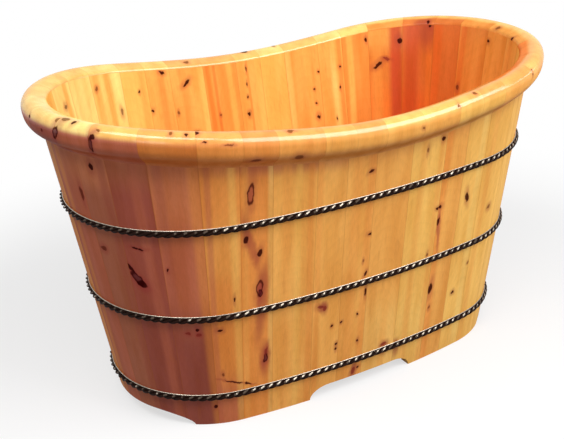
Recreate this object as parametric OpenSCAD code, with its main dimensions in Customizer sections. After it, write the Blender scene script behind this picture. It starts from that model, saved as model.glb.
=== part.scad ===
// Oval wooden soaking tub: leaning staves bound by three twisted metal hoops,
// a rolled rim that rises at both ends, arched feet, a boarded floor and a plug waste.
// Origin: centre of the footprint on the ground. +X along the tub, towards the waste. +Z up.

/* [Plan] */
// Length of the foot, outside the staves
foot_length = 942; // [880:2:1000]
// Width of the foot, outside the staves
foot_width = 468; // [450:2:500]
// Radius of the round ends at the foot
end_radius = 214; // [195:1:220]
// Outward lean of the wall, in degrees
wall_lean = 8.4; // [4:0.2:11]

/* [Rim] */
// Height of the rim at its lowest point
rim_low = 648.5; // [620:0.5:700]
// Place of the lowest point along the tub
low_x = 47; // [0:1:90]
// How far the rim rises towards the head end (-X)
head_rise = 59.5; // [20:0.5:80]
// How far the rim rises towards the waste end (+X)
foot_rise = 53; // [20:0.5:80]
// Distance from the lowest point to a crest
rise_run = 650; // [560:5:720]
// How far the rolled lip stands out from the wall
lip_out = 29; // [22:0.5:40]
// Height of the lip, from the crease under it to its crown
lip_depth = 73; // [70:1:86]
// Radius of the lip's round nose
nose_radius = 27; // [22:0.5:30]
// Height of the upright flank of the nose
lip_flank = 8; // [0:0.5:10]
// How steeply the rim's top falls towards the inside, in degrees
top_slope = 20; // [5:1:24]
// Radius of the rim's inner edge
edge_radius = 8; // [5:0.5:12]

/* [Staves] */
// Thickness of the wall
stave_thickness = 26; // [22:0.5:32]
// Gap between neighbouring staves
stave_gap = 0.1; // [0.05:0.05:0.4]
// Glue line between the rim blocks and the staves
rim_gap = 0.2; // [0.15:0.05:0.4]
// Diameter of the pins in the stave joints
stave_pin_d = 8; // [5:0.5:10]
// Length of the pins in the stave joints
stave_pin_length = 36; // [24:1:40]
// Height of the lower row of pins
low_pin_z = 176; // [130:1:220]
// Height of the upper row of pins
high_pin_z = 385; // [340:1:430]

/* [Arches] */
// Height of the arches between the feet
arch_height = 30; // [20:1:32]
// Length of each side arch on the ground
side_arch = 268; // [200:2:300]
// Length of the flat top of a side arch
side_arch_flat = 172; // [100:2:180]
// Width of each end arch on the ground
end_arch = 342; // [260:2:350]
// Width of the flat top of an end arch
end_arch_flat = 206; // [140:2:230]

/* [Hoops] */
// Thickness of the hoops over their twist
hoop_d = 14; // [10:0.5:16]
// Depth of a hoop's seat in the wall
hoop_seat = 5; // [2:0.5:6]
// Clearance between a hoop and its seat
hoop_fit = 0.25; // [0.1:0.05:0.5]
// Height of the lower hoop
lower_hoop_z = 75; // [64:1:100]
// Height of the middle hoop
middle_hoop_z = 277; // [240:1:310]
// Height of the upper hoop
upper_hoop_z = 480; // [450:1:520]

/* [Floor] */
// Height of the floor's underside above the ground
floor_z = 56; // [52:1:70]
// Thickness of the floor boards
floor_thickness = 24; // [20:0.5:28]
// Depth of the floor's groove in the wall
croze_depth = 8; // [6:0.5:10]
// Clearance of the floor in its groove
floor_fit = 0.3; // [0.2:0.1:0.6]
// Gap between floor boards
board_gap = 0.2; // [0.1:0.1:0.6]
// Diameter of the pins between floor boards
floor_pin_d = 8; // [5:0.5:10]
// Length of the pins between floor boards
floor_pin_length = 40; // [24:1:50]
// Width of the battens under the floor
batten_width = 44; // [34:1:60]
// Thickness of the battens
batten_thickness = 18; // [14:0.5:22]
// Distance of each batten from the middle of the tub
batten_x = 140; // [110:2:170]
// Diameter of the screws' shanks
screw_d = 4.5; // [3.5:0.5:6]
// Length of the screws
screw_length = 34; // [28:1:36]

/* [Waste] */
// Place of the waste along the tub
waste_x = 262; // [240:2:290]
// Diameter of the waste's threaded barrel
barrel_d = 48; // [42:1:52]
// Wall of the barrel
barrel_wall = 3; // [2:0.5:4]
// Diameter of the waste's flange
flange_d = 72; // [68:1:80]
// Thickness of the flange
flange_thickness = 3; // [2:0.5:4]
// Thickness of each gasket
gasket_thickness = 2; // [1.5:0.5:3]
// Diameter of the spigot that takes the drain hose
spigot_d = 40; // [32:1:40]
// Height of the spigot's mouth above the ground
spigot_z = 10; // [6:1:14]
// Thickness of the clamping nut
nut_thickness = 9; // [7:0.5:12]
// Diameter of the clamping nut
nut_d = 68; // [62:1:76]
// Diameter of the plug's cap
plug_d = 62; // [58:1:66]
// Thickness of the plug's cap
plug_thickness = 5; // [4:0.5:8]
// Diameter of the plug's stem
stem_d = 8; // [6:0.5:9]
// Travel of the plug
plug_travel = 10; // [6:1:12]

/* [Hidden] */
$fn = 96;

// Relative widths of the staves along one end and along one side
end_mix = [1.05, 0.9, 1.1, 0.95, 1.0, 1.1, 0.9, 1.0, 1.1, 0.9];
side_mix = [0.9, 1.25, 0.9, 0.9, 1.2, 1.2, 0.85, 0.85];
stave_tones = ["#d89a4c", "#c9843a", "#e2ad62", "#d08f45", "#bb7230", "#dca456", "#c78941"];
rim_tones = ["#e6bd78", "#dcae66"];
floor_tones = ["#cf9349", "#c4873f", "#d89e55"];
pin_tone = "#d9c48c";
hoop_tone = "#4a4038";
chrome_tone = "#c9ccd0";
rubber_tone = "#2b2b2d";

// The plan is four arcs that meet in a tangent: an arc about each end centre, and a
// long arc for each side. The wall leans by the same amount all round, so every arc
// keeps its centre and only its radius grows with height.
lean = tan(wall_lean);
end_x = foot_length / 2 - end_radius;
half_w = foot_width / 2;
side_radius = (pow(end_x, 2) + pow(half_w, 2) - pow(end_radius, 2)) / (2 * (half_w - end_radius));
side_y = side_radius - half_w;
side_half = atan(end_x / side_y);
end_half = 90 - side_half;

// Arc number: 0 waste end (+X), 1 back side (+Y), 2 head end (-X), 3 front side (-Y)
centres = [[end_x, 0], [0, -side_y], [-end_x, 0], [0, side_y]];
radii = [end_radius, side_radius, end_radius, side_radius];
halves = [end_half, side_half, end_half, side_half];
mixes = [end_mix, side_mix, end_mix, side_mix];
firsts = [0, len(end_mix), len(end_mix) + len(side_mix), 2 * len(end_mix) + len(side_mix)];
stave_count = 2 * (len(end_mix) + len(side_mix));

function sum_to(v, n) = n == 0 ? 0 : v[n - 1] + sum_to(v, n - 1);
function arc_of(i) = i >= firsts[3] ? 3 : i >= firsts[2] ? 2 : i >= firsts[1] ? 1 : 0;
function joint_angle(g, j) =
    90 * g - halves[g] + 2 * halves[g] * sum_to(mixes[g], j) / sum_to(mixes[g], len(mixes[g]));
function wall_radius(g, z) = radii[g] + lean * z;
function on_arc(g, radius, angle) = centres[g] + radius * [cos(angle), sin(angle)];

// Height of the rim's crown, a function of the place along the tub alone
function crown(x) =
    rim_low + (x < low_x ? head_rise : foot_rise)
    * (1 - cos(180 * min(1, abs(x - low_x) / rise_run))) / 2;
rim_top = rim_low + max(head_rise, foot_rise);

// Centre of the nose, and of the inner edge under the sloping top
nose_x = lip_out - nose_radius;
edge_x = edge_radius - stave_thickness;
edge_z = (nose_radius - edge_radius - cos(top_slope) * nose_radius
          - sin(top_slope) * (nose_x - edge_x)) / cos(top_slope);
seat_depth = rim_gap - edge_z;

// Outline of the tub's plan at an offset from the foot's outside
function oval(offset) = [for (g = [0:3]) for (k = [0:(g % 2 == 0 ? 54 : 16)])
    on_arc(g, radii[g] + offset, 90 * g - halves[g] + 2 * halves[g] * k / (g % 2 == 0 ? 55 : 17))];

// Croze and floor
floor_top = floor_z + floor_thickness;
croze_offset = lean * floor_top - stave_thickness + croze_depth;
board_count = 5;
board_width = 2 * (half_w + croze_offset) / board_count;
pin_fit = 0.1;

// Waste stack, from the floor down
flange_seat = flange_thickness + gasket_thickness;
barrel_fit = 0.5;
nut_top = floor_z - gasket_thickness;
barrel_bottom = nut_top - nut_thickness - 3;
throat_d = barrel_d - 2 * barrel_wall;
spigot_bore = spigot_d - 2 * barrel_wall;
hub_d = stem_d + 8;
hub_depth = 8;
hub_top = barrel_bottom + 3 + hub_depth;
rib = 3;
seal_d = 3;
guide_top = floor_top - 12;
guide_wall = 2;
guide_fit = 0.1;
plug_gap = 0.3;

// Staves

// Section of the wall on one arc, with the hoop seats and the floor's groove
module wall_section(g) {
    r = radii[g];
    top = rim_top + 5;
    difference() {
        polygon([[r - stave_thickness, 0], [r, 0],
                 [r + lean * top, top], [r + lean * top - stave_thickness, top]]);
        for (z = [lower_hoop_z, middle_hoop_z, upper_hoop_z])
            translate([hoop_radius(g, z), z]) circle(d = hoop_d + 2 * hoop_fit);
        translate([r, floor_z])
            translate([-2 * stave_thickness, 0])
                square([croze_offset + 2 * stave_thickness, floor_thickness]);
    }
}

function hoop_radius(g, z) = wall_radius(g, z) + hoop_d / 2 - hoop_seat;

// Everything above the seat of the rim blocks between two places along the tub
module above_seat(x0, x1) {
    steps = 6;
    translate([0, foot_width, 0]) rotate([90, 0, 0]) linear_extrude(2 * foot_width)
        polygon(concat(
            [for (k = [0:steps]) let (x = x0 + (x1 - x0) * k / steps) [x, crown(x) - seat_depth]],
            [[x1, rim_top + 20], [x0, rim_top + 20]]));
}

// Arch with a flat top and quarter-elliptic ends, across the ground line
module arch(width, flat) {
    run = (width - flat) / 2;
    right = [for (a = [0:9:90]) [flat / 2 + run * cos(a), arch_height * sin(a)]];
    polygon(concat([[-width / 2, -1], [width / 2, -1]], right,
                   [for (k = [len(right) - 1:-1:0]) [-right[k][0], right[k][1]]]));
}

module arch_cut(g) {
    width = g % 2 == 0 ? end_arch : side_arch;
    flat = g % 2 == 0 ? end_arch_flat : side_arch_flat;
    rotate([90, 0, g % 2 == 0 ? 90 : 0]) translate([0, 0, -foot_length])
        linear_extrude(2 * foot_length) arch(width, flat);
}

// A pin across the joint plane at an angle of an arc
module joint_pin(g, angle, z, d, length) {
    p = on_arc(g, wall_radius(g, z) - stave_thickness / 2, angle);
    translate([p[0], p[1], z]) rotate([0, 0, angle]) rotate([90, 0, 0])
        cylinder(d = d, h = length, center = true, $fn = 32);
}

module stave(number) {
    i = number - 1;
    g = arc_of(i);
    slack = stave_gap / 2 / radii[g] * 180 / PI;
    a0 = joint_angle(g, i - firsts[g]);
    a1 = joint_angle(g, i - firsts[g] + 1);
    xs = [for (a = [a0, a1, (a0 + a1) / 2]) for (r = [wall_radius(g, rim_low - 20) - stave_thickness,
          wall_radius(g, rim_top + 5)]) on_arc(g, r, a)[0]];
    color(stave_tones[i * 3 % len(stave_tones)])
        difference() {
            translate([centres[g][0], centres[g][1], 0]) rotate([0, 0, a0 + slack])
                rotate_extrude(angle = a1 - a0 - 2 * slack, $fn = 360) wall_section(g);
            above_seat(min(xs) - 6, max(xs) + 6);
            arch_cut(g);
            for (a = [a0, a1]) for (z = [low_pin_z, high_pin_z])
                joint_pin(g, a, z, stave_pin_d + pin_fit, stave_pin_length + 2);
        }
}

module stave_pins() {
    color(pin_tone)
        for (i = [0:stave_count - 1]) let (g = arc_of(i)) for (z = [low_pin_z, high_pin_z])
            joint_pin(g, joint_angle(g, i - firsts[g] + 1), z, stave_pin_d, stave_pin_length);
}

// Rim

// Section of a rim block: distance out from the wall's face, and height from the crown
under = [lip_out - nose_radius / 2, -nose_radius - lip_flank - nose_radius * sin(60)];
lip_section = concat(
    [for (k = [0:3]) let (a = 180 - k * (90 - top_slope) / 3)
        [edge_x + edge_radius * cos(a), edge_z + edge_radius * sin(a)]],
    [for (k = [0:4]) let (a = (90 + top_slope) * (1 - k / 4))
        [nose_x + nose_radius * cos(a), nose_radius * (sin(a) - 1)]],
    [for (k = [0:2]) let (a = -30 * k)
        [nose_x + nose_radius * cos(a), nose_radius * (sin(a) - 1) - lip_flank]],
    [[under[0] * 0.42, under[1] * 0.45 - lip_depth * 0.55],
     [rim_gap, -lip_depth], [rim_gap, edge_z]]);

function crown_at(g, angle, out, down) =
    let (x = on_arc(g, wall_radius(g, rim_low + down) + out, angle)[0])
    crown(on_arc(g, wall_radius(g, crown(x) + down) + out, angle)[0]);

function rim_point(g, angle, s) =
    let (z = crown_at(g, angle, s[0], s[1]) + s[1],
         p = on_arc(g, wall_radius(g, z) + s[0], angle))
    [p[0], p[1], z];

module rim_block(g, a0, a1) {
    n = len(lip_section);
    steps = g % 2 == 0 ? 6 : 3;
    points = [for (k = [0:steps]) for (s = lip_section) rim_point(g, a0 + (a1 - a0) * k / steps, s)];
    sides = [for (k = [0:steps - 1]) for (m = [0:n - 1]) for (t = [0, 1])
        let (b = k * n, c = b + n, m2 = (m + 1) % n)
        t == 0 ? [b + m, b + m2, c + m] : [b + m2, c + m2, c + m]];
    polyhedron(points, concat(sides,
        [[for (m = [n - 1:-1:0]) m], [for (m = [0:n - 1]) steps * n + m]]), convexity = 4);
}

module rim(g) {
    slack = stave_gap / 2 / radii[g] * 180 / PI;
    for (j = [0:len(mixes[g]) - 1])
        color(rim_tones[j % 2])
            rim_block(g, joint_angle(g, j) + slack, joint_angle(g, j + 1) - slack);
}

// Hoops

// One closed ring of rod, laid along the wall's four arcs
module hoop(z) {
    sides = 14;
    path = [for (g = [0:3]) let (steps = g % 2 == 0 ? 40 : 12) for (k = [0:steps - 1])
        [g, 90 * g - halves[g] + 2 * halves[g] * k / steps]];
    count = len(path);
    points = [for (p = path) for (m = [0:sides - 1]) let (a = -360 * m / sides,
        q = on_arc(p[0], hoop_radius(p[0], z) + hoop_d / 2 * cos(a), p[1]))
        [q[0], q[1], z + hoop_d / 2 * sin(a)]];
    color(hoop_tone)
        polyhedron(points, [for (k = [0:count - 1]) for (m = [0:sides - 1]) for (t = [0, 1])
            let (b = k * sides, c = (k + 1) % count * sides, m2 = (m + 1) % sides)
            t == 0 ? [b + m, b + m2, c + m] : [b + m2, c + m2, c + m]], convexity = 6);
}

// Floor

board_xs = [-300, -100, 100, 310];

module floor_board(number) {
    y0 = -half_w - croze_offset + (number - 1) * board_width;
    color(floor_tones[number % len(floor_tones)])
        difference() {
            translate([0, 0, floor_z + floor_fit / 2])
                linear_extrude(floor_thickness - floor_fit)
                    intersection() {
                        polygon(oval(croze_offset - floor_fit));
                        translate([-foot_length, y0 + board_gap / 2])
                            square([2 * foot_length, board_width - board_gap]);
                    }
            for (y = [y0, y0 + board_width]) floor_pin_row(y, floor_pin_d + pin_fit, floor_pin_length + 2);
            for (side = [-1, 1])
                translate([side * batten_x, y0 + board_width / 2, floor_z - 1])
                    cylinder(d = screw_d + pin_fit, h = screw_length - batten_thickness + 2, $fn = 24);
            waste_hole();
        }
}

// Pins through one board joint, shortened rows at the narrow outer joints
module floor_pin_row(y, d, length) {
    for (x = board_xs)
        if (abs(x) < end_x + 60 || abs(y) < board_width)
            translate([x, y, floor_z + floor_thickness / 2]) rotate([90, 0, 0])
                cylinder(d = d, h = length, center = true, $fn = 32);
}

module floor_pins() {
    color(pin_tone)
        for (n = [1:board_count - 1])
            floor_pin_row(-half_w - croze_offset + n * board_width, floor_pin_d, floor_pin_length);
}

batten_length = 2 * (half_w - stave_thickness) - 16;
screw_head_d = 2 * screw_d;
screw_head_h = screw_d / 2;

module battens() {
    color(floor_tones[0])
        for (side = [-1, 1])
            difference() {
                translate([side * batten_x - batten_width / 2, -batten_length / 2,
                           floor_z - batten_thickness])
                    cube([batten_width, batten_length, batten_thickness + floor_fit / 2 - 0.05]);
                for (n = [1:board_count])
                    translate([side * batten_x, screw_y(n), floor_z - batten_thickness]) {
                        translate([0, 0, -1]) cylinder(d = screw_d + 0.4, h = batten_thickness + 3, $fn = 24);
                        translate([0, 0, -0.01])
                            cylinder(d1 = screw_head_d + 0.4, d2 = screw_d + 0.4,
                                     h = screw_head_h + 0.01, $fn = 24);
                    }
            }
}

function screw_y(n) = (n - (board_count + 1) / 2) * board_width;

module batten_screws() {
    color(chrome_tone)
        for (side = [-1, 1]) for (n = [1:board_count])
            translate([side * batten_x, screw_y(n), floor_z - batten_thickness]) {
                cylinder(d1 = screw_head_d, d2 = screw_d, h = screw_head_h, $fn = 24);
                cylinder(d = screw_d, h = screw_length, $fn = 24);
            }
}

// Waste

module at_waste() {
    translate([waste_x, 0, 0]) children();
}

module waste_hole() {
    at_waste() {
        translate([0, 0, floor_z - 1]) cylinder(d = barrel_d + 2 * barrel_fit, h = floor_thickness + 2);
        translate([0, 0, floor_top - flange_seat])
            cylinder(d = flange_d + 2 * barrel_fit, h = flange_seat + 1);
    }
}

module waste_body() {
    color(chrome_tone) at_waste() {
        rotate_extrude()
            polygon([[throat_d / 2, hub_top - hub_depth], [spigot_bore / 2, hub_top - hub_depth],
                     [spigot_bore / 2, spigot_z], [spigot_d / 2, spigot_z],
                     [spigot_d / 2, barrel_bottom], [barrel_d / 2, barrel_bottom],
                     [barrel_d / 2, floor_top - flange_thickness],
                     [flange_d / 2, floor_top - flange_thickness], [flange_d / 2, floor_top],
                     [throat_d / 2 + 5, floor_top], [throat_d / 2, floor_top - 4]]);
        difference() {
            union() {
                translate([0, 0, hub_top - hub_depth]) cylinder(d = hub_d, h = hub_depth);
                for (a = [30, 150, 270]) rotate([0, 0, a])
                    translate([0, -rib / 2, hub_top - hub_depth + 1])
                        cube([throat_d / 2 + barrel_wall / 2, rib, hub_depth - 2]);
            }
            translate([0, 0, hub_top - hub_depth - 1])
                cylinder(d = stem_d + 2 * guide_wall + 0.1, h = hub_depth + 2);
        }
    }
}

module waste_gasket_top() {
    color(rubber_tone) at_waste() translate([0, 0, floor_top - flange_seat])
        ring(flange_d, barrel_d + 2 * barrel_fit, gasket_thickness);
}

module waste_gasket_bottom() {
    color(rubber_tone) at_waste() translate([0, 0, nut_top])
        ring(nut_d, barrel_d + 2 * barrel_fit, gasket_thickness);
}

module waste_nut() {
    color(chrome_tone) at_waste() translate([0, 0, nut_top - nut_thickness])
        difference() {
            cylinder(d = nut_d, h = nut_thickness);
            translate([0, 0, -1]) cylinder(d = barrel_d + 0.2, h = nut_thickness + 2);
            for (a = [0:60:300]) rotate([0, 0, a])
                translate([nut_d / 2, 0, -1]) cylinder(d = 10, h = nut_thickness - 2);
        }
}

module ring(outer, inner, height) {
    difference() {
        cylinder(d = outer, h = height);
        translate([0, 0, -1]) cylinder(d = inner, h = height + 2);
    }
}

// Sleeve in the hub that the plug's stem slides in
module plug_guide() {
    color(chrome_tone) at_waste() translate([0, 0, hub_top - hub_depth])
        difference() {
            cylinder(d = stem_d + 2 * guide_wall, h = guide_top - hub_top + hub_depth);
            translate([0, 0, -1])
                cylinder(d = stem_d + 2 * guide_fit, h = guide_top - hub_top + hub_depth + 2);
        }
}

module plug_cap() {
    color(chrome_tone) at_waste() {
        base = floor_top + plug_gap;
        stem_bottom = hub_top - hub_depth + 2;
        difference() {
            rotate_extrude()
                polygon([[0, stem_bottom], [stem_d / 2, stem_bottom], [stem_d / 2, base],
                         [plug_d / 2, base], [plug_d / 2, base + plug_thickness - 2],
                         [plug_d / 2 - 2, base + plug_thickness], [0, base + plug_thickness]]);
            translate([0, 0, base]) rotate_extrude()
                translate([throat_d / 2 + 8, 0]) circle(d = seal_d, $fn = 24);
        }
    }
}

module plug_seal() {
    color(rubber_tone) at_waste() translate([0, 0, floor_top + plug_gap])
        rotate_extrude() translate([throat_d / 2 + 8, 0])
            difference() {
                circle(d = seal_d - 0.1, $fn = 24);
                translate([-seal_d, -2 * seal_d - plug_gap / 2]) square([2 * seal_d, 2 * seal_d]);
            }
}

stave(1);  // stave_01
stave(2);  // stave_02
stave(3);  // stave_03
stave(4);  // stave_04
stave(5);  // stave_05
stave(6);  // stave_06
stave(7);  // stave_07
stave(8);  // stave_08
stave(9);  // stave_09
stave(10);  // stave_10
stave(11);  // stave_11
stave(12);  // stave_12
stave(13);  // stave_13
stave(14);  // stave_14
stave(15);  // stave_15
stave(16);  // stave_16
stave(17);  // stave_17
stave(18);  // stave_18
stave(19);  // stave_19
stave(20);  // stave_20
stave(21);  // stave_21
stave(22);  // stave_22
stave(23);  // stave_23
stave(24);  // stave_24
stave(25);  // stave_25
stave(26);  // stave_26
stave(27);  // stave_27
stave(28);  // stave_28
stave(29);  // stave_29
stave(30);  // stave_30
stave(31);  // stave_31
stave(32);  // stave_32
stave(33);  // stave_33
stave(34);  // stave_34
stave(35);  // stave_35
stave(36);  // stave_36
rim(0);  // rim_foot_end
rim(1);  // rim_back_side
rim(2);  // rim_head_end
rim(3);  // rim_front_side
hoop(lower_hoop_z);  // hoop_lower
hoop(middle_hoop_z);  // hoop_middle
hoop(upper_hoop_z);  // hoop_upper
floor_board(1);  // floor_board_1
floor_board(2);  // floor_board_2
floor_board(3);  // floor_board_3
floor_board(4);  // floor_board_4
floor_board(5);  // floor_board_5
stave_pins();
floor_pins();
battens();
batten_screws();
waste_body();
waste_gasket_top();
waste_gasket_bottom();
waste_nut();
plug_guide();
plug_cap();
plug_seal();
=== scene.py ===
import math
import random

import bpy
from mathutils import Matrix, Vector


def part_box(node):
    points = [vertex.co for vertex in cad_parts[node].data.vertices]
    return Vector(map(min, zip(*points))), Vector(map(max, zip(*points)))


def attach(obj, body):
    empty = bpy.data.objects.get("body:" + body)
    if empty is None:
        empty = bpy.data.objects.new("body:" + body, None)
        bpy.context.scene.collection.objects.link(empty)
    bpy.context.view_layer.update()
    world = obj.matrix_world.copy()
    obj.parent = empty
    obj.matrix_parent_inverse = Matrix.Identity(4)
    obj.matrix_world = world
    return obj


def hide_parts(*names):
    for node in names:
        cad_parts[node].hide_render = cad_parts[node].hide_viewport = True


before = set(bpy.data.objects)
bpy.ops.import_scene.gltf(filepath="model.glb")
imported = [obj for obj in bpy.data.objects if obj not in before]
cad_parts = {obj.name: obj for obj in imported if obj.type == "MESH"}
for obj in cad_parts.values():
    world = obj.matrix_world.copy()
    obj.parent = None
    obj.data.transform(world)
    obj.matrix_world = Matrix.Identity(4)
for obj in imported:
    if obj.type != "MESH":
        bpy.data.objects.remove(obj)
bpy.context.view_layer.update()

# Plan of the tub, in metres: an arc about each end centre and a long arc for each side.
# Arc 0 is the foot end (+X), 1 the back, 2 the head end and 3 the front.
FOOT_LENGTH, FOOT_WIDTH, END_R = 0.942, 0.468, 0.214
LEAN = math.tan(math.radians(8.4))
END_X = FOOT_LENGTH / 2 - END_R
HALF_W = FOOT_WIDTH / 2
SIDE_R = (END_X**2 + HALF_W**2 - END_R**2) / (2 * (HALF_W - END_R))
SIDE_Y = SIDE_R - HALF_W
SIDE_HALF = math.atan(END_X / SIDE_Y)
CENTRES = [(END_X, 0.0), (0.0, -SIDE_Y), (-END_X, 0.0), (0.0, SIDE_Y)]
RADII = [END_R, SIDE_R, END_R, SIDE_R]
HALVES = [math.pi / 2 - SIDE_HALF, SIDE_HALF] * 2
# Shares of each arc that its boards take
MIXES = [
    [1.05, 0.9, 1.1, 0.95, 1.0, 1.1, 0.9, 1.0, 1.1, 0.9],
    [0.9, 1.25, 0.9, 0.9, 1.2, 1.2, 0.85, 0.85],
] * 2
WALL_MM = 26
WALL = WALL_MM / 1000
# The crown is lowest at LOW_X and rises to both ends, over RISE_RUN
RIM_LOW, LOW_X, HEAD_RISE, FOOT_RISE, RISE_RUN = 0.6485, 0.047, 0.0595, 0.053, 0.650
# The rolled rim: its reach out from the wall, depth, nose and flank, then the slope of its
# top, its inner edge, and its distance from the wall's face
LIP_OUT, LIP_DEPTH, NOSE_R, LIP_FLANK = 0.029, 0.073, 0.027, 0.008
TOP_SLOPE, EDGE_R, RIM_GAP = math.radians(20), 0.008, 0.0002
# Heights of the hoops, their thickness, and how far each is let into the wall
HOOPS = {"hoop_lower": 0.075, "hoop_middle": 0.277, "hoop_upper": 0.480}
HOOP_D, HOOP_SEAT = 0.014, 0.005


def joint_angles(g):
    total, angle, out = sum(MIXES[g]), g * math.pi / 2 - HALVES[g], []
    out.append(angle)
    for share in MIXES[g]:
        angle += 2 * HALVES[g] * share / total
        out.append(angle)
    return out


def on_arc(g, radius, angle):
    return (
        CENTRES[g][0] + radius * math.cos(angle),
        CENTRES[g][1] + radius * math.sin(angle),
    )


def crown(x):
    rise = HEAD_RISE if x < LOW_X else FOOT_RISE
    return RIM_LOW + rise * (1 - math.cos(math.pi * min(1, abs(x - LOW_X) / RISE_RUN))) / 2


STAVES = []
for g in range(4):
    angles = joint_angles(g)
    for j in range(len(MIXES[g])):
        STAVES.append((g, angles[j], angles[j + 1]))


def metres(*sizes):
    """Metres from millimetres."""
    return tuple(size / 1000 for size in sizes)


# Node helpers


class Tree:
    """Short calls for building a node tree."""

    def __init__(self, tree):
        self.tree = tree

    def add(self, kind, inputs=None, **settings):
        n = self.tree.nodes.new(kind)
        for k, v in settings.items():
            setattr(n, k, v)
        for k, v in (inputs or {}).items():
            socket = n.inputs[k]
            if isinstance(v, bpy.types.NodeSocket):
                self.link(v, socket)
            else:
                socket.default_value = v
        return n

    def link(self, source, target):
        self.tree.links.new(source, target)

    def math(self, op, a, b=0.0):
        return self.add("ShaderNodeMath", {0: a, 1: b}, operation=op).outputs[0]

    def length(self, v):
        return self.add("ShaderNodeVectorMath", {0: v}, operation="LENGTH").outputs["Value"]

    def grey(self, value):
        return self.add("ShaderNodeCombineColor", {0: value, 1: value, 2: value}).outputs[0]

    def vmath(self, op, a, b):
        return self.add("ShaderNodeVectorMath", {0: a, 1: b}, operation=op).outputs[0]

    def ramp(self, value, lo, hi, out_lo=0.0, out_hi=1.0):
        n = self.add(
            "ShaderNodeMapRange",
            {"Value": value, 1: lo, 2: hi, 3: out_lo, 4: out_hi},
            interpolation_type="SMOOTHSTEP",
        )
        return n.outputs[0]

    def mix(self, fac, a, b, blend="MIX"):
        n = self.add("ShaderNodeMix", data_type="RGBA", blend_type=blend)
        for i, v in ((0, fac), (6, a), (7, b)):
            if isinstance(v, bpy.types.NodeSocket):
                self.link(v, n.inputs[i])
            else:
                n.inputs[i].default_value = v if i == 0 else (*v[:3], 1)
        return n.outputs[2]

    def noise(self, vector, scale=1.0, detail=2.0, rough=0.5):
        return self.add(
            "ShaderNodeTexNoise",
            {"Vector": vector, "Scale": scale, "Detail": detail, "Roughness": rough},
        ).outputs[0]


def group(name, ins, outs):
    g = bpy.data.node_groups.new(name, "ShaderNodeTree")
    for n, kind in ins:
        g.interface.new_socket(n, in_out="INPUT", socket_type="NodeSocket" + kind)
    for n, kind in outs:
        g.interface.new_socket(n, in_out="OUTPUT", socket_type="NodeSocket" + kind)
    t = Tree(g)
    return g, t, t.add("NodeGroupInput"), t.add("NodeGroupOutput")


def new_material(name):
    m = bpy.data.materials.new(name)
    m.use_nodes = True
    m.node_tree.nodes.clear()
    return m, Tree(m.node_tree)


def srgb(hex_colour):
    out = []
    for i in (1, 3, 5):
        c = int(hex_colour[i : i + 2], 16) / 255
        out.append(c / 12.92 if c <= 0.04045 else ((c + 0.055) / 1.055) ** 2.4)
    return (*out, 1)


# Timber: growth rings about a pith behind the board, fibres along it and broad stripes.
# Its vector is in the board's own axes in metres: X across, Y through, Z along.
GROWTH_RINGS = 210.0  # in a metre
# Features of each noise in a metre, by axis
SLOW_SCALE, FIBRE_SCALE = (9.0, 9.0, 1.6), (420.0, 420.0, 9.0)
BROAD_SCALE, LINE_SCALE = (34.0, 34.0, 1.1), (95.0, 95.0, 2.3)
RING_WANDER, PITH_SLANT = 0.05, 0.035

timber, t, gin, gout = group(
    "timber",
    [("Vector", "Vector"), ("Pith", "Vector"), ("Seed", "Float")],
    [(name, "Float") for name in ("Ring", "Fibre", "Broad", "Slow", "Line")],
)
seeded = t.add("ShaderNodeCombineXYZ", {0: gin.outputs["Seed"], 1: gin.outputs["Seed"], 2: 0.0})
moved = t.vmath("ADD", gin.outputs["Vector"], seeded.outputs[0])
slow = t.noise(t.vmath("MULTIPLY", moved, SLOW_SCALE), 1.0, 3.0)
from_pith = t.vmath("SUBTRACT", gin.outputs["Vector"], gin.outputs["Pith"])
sep = t.add("ShaderNodeSeparateXYZ", {0: from_pith})
wander = t.math("MULTIPLY", t.math("SUBTRACT", slow, 0.5), RING_WANDER)
px = t.math("ADD", sep.outputs[0], wander)
py = t.math("ADD", sep.outputs[1], t.math("MULTIPLY", sep.outputs[2], PITH_SLANT))
dist = t.math("SQRT", t.math("ADD", t.math("POWER", px, 2.0), t.math("POWER", py, 2.0)))
ring_phase = t.math("FRACT", t.math("MULTIPLY", dist, GROWTH_RINGS))
ring = t.math("POWER", ring_phase, 2.2)
ring = t.math("MULTIPLY", ring, t.ramp(ring_phase, 1.0, 0.93))
fibre = t.noise(t.vmath("MULTIPLY", moved, FIBRE_SCALE), 1.0, 4.0, 0.62)
broad = t.noise(t.vmath("MULTIPLY", moved, BROAD_SCALE), 1.0, 2.0, 0.45)
line = t.noise(t.vmath("MULTIPLY", moved, LINE_SCALE), 1.0, 3.0, 0.6)
line = t.ramp(line, 0.56, 0.70)
outputs = {"Ring": ring, "Fibre": fibre, "Broad": broad, "Slow": slow, "Line": line}
for name, value in outputs.items():
    t.link(value, gout.inputs[name])

# Knot: an uneven dark ellipse, its rim alone, and a reddish halo that runs out along the grain
knot, t, gin, gout = group(
    "knot",
    [("Vector", "Vector"), ("Place", "Vector"), ("Size", "Vector"), ("Tilt", "Float")],
    [("Core", "Float"), ("Ring", "Float"), ("Halo", "Float")],
)
rel = t.vmath("SUBTRACT", gin.outputs["Vector"], gin.outputs["Place"])
rel = t.add(
    "ShaderNodeVectorRotate", {"Vector": rel, "Angle": gin.outputs["Tilt"]}, rotation_type="Y_AXIS"
).outputs[0]
rel = t.vmath("DIVIDE", rel, gin.outputs["Size"])
d = t.length(rel)
t.link(t.ramp(d, 1.1, 0.75), gout.inputs["Core"])
t.link(t.math("MULTIPLY", t.ramp(d, 1.1, 0.85), t.ramp(d, 0.45, 0.75)), gout.inputs["Ring"])
t.link(t.ramp(t.length(t.vmath("MULTIPLY", rel, (1.0, 1.0, 0.7))), 2.6, 0.6), gout.inputs["Halo"])

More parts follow.
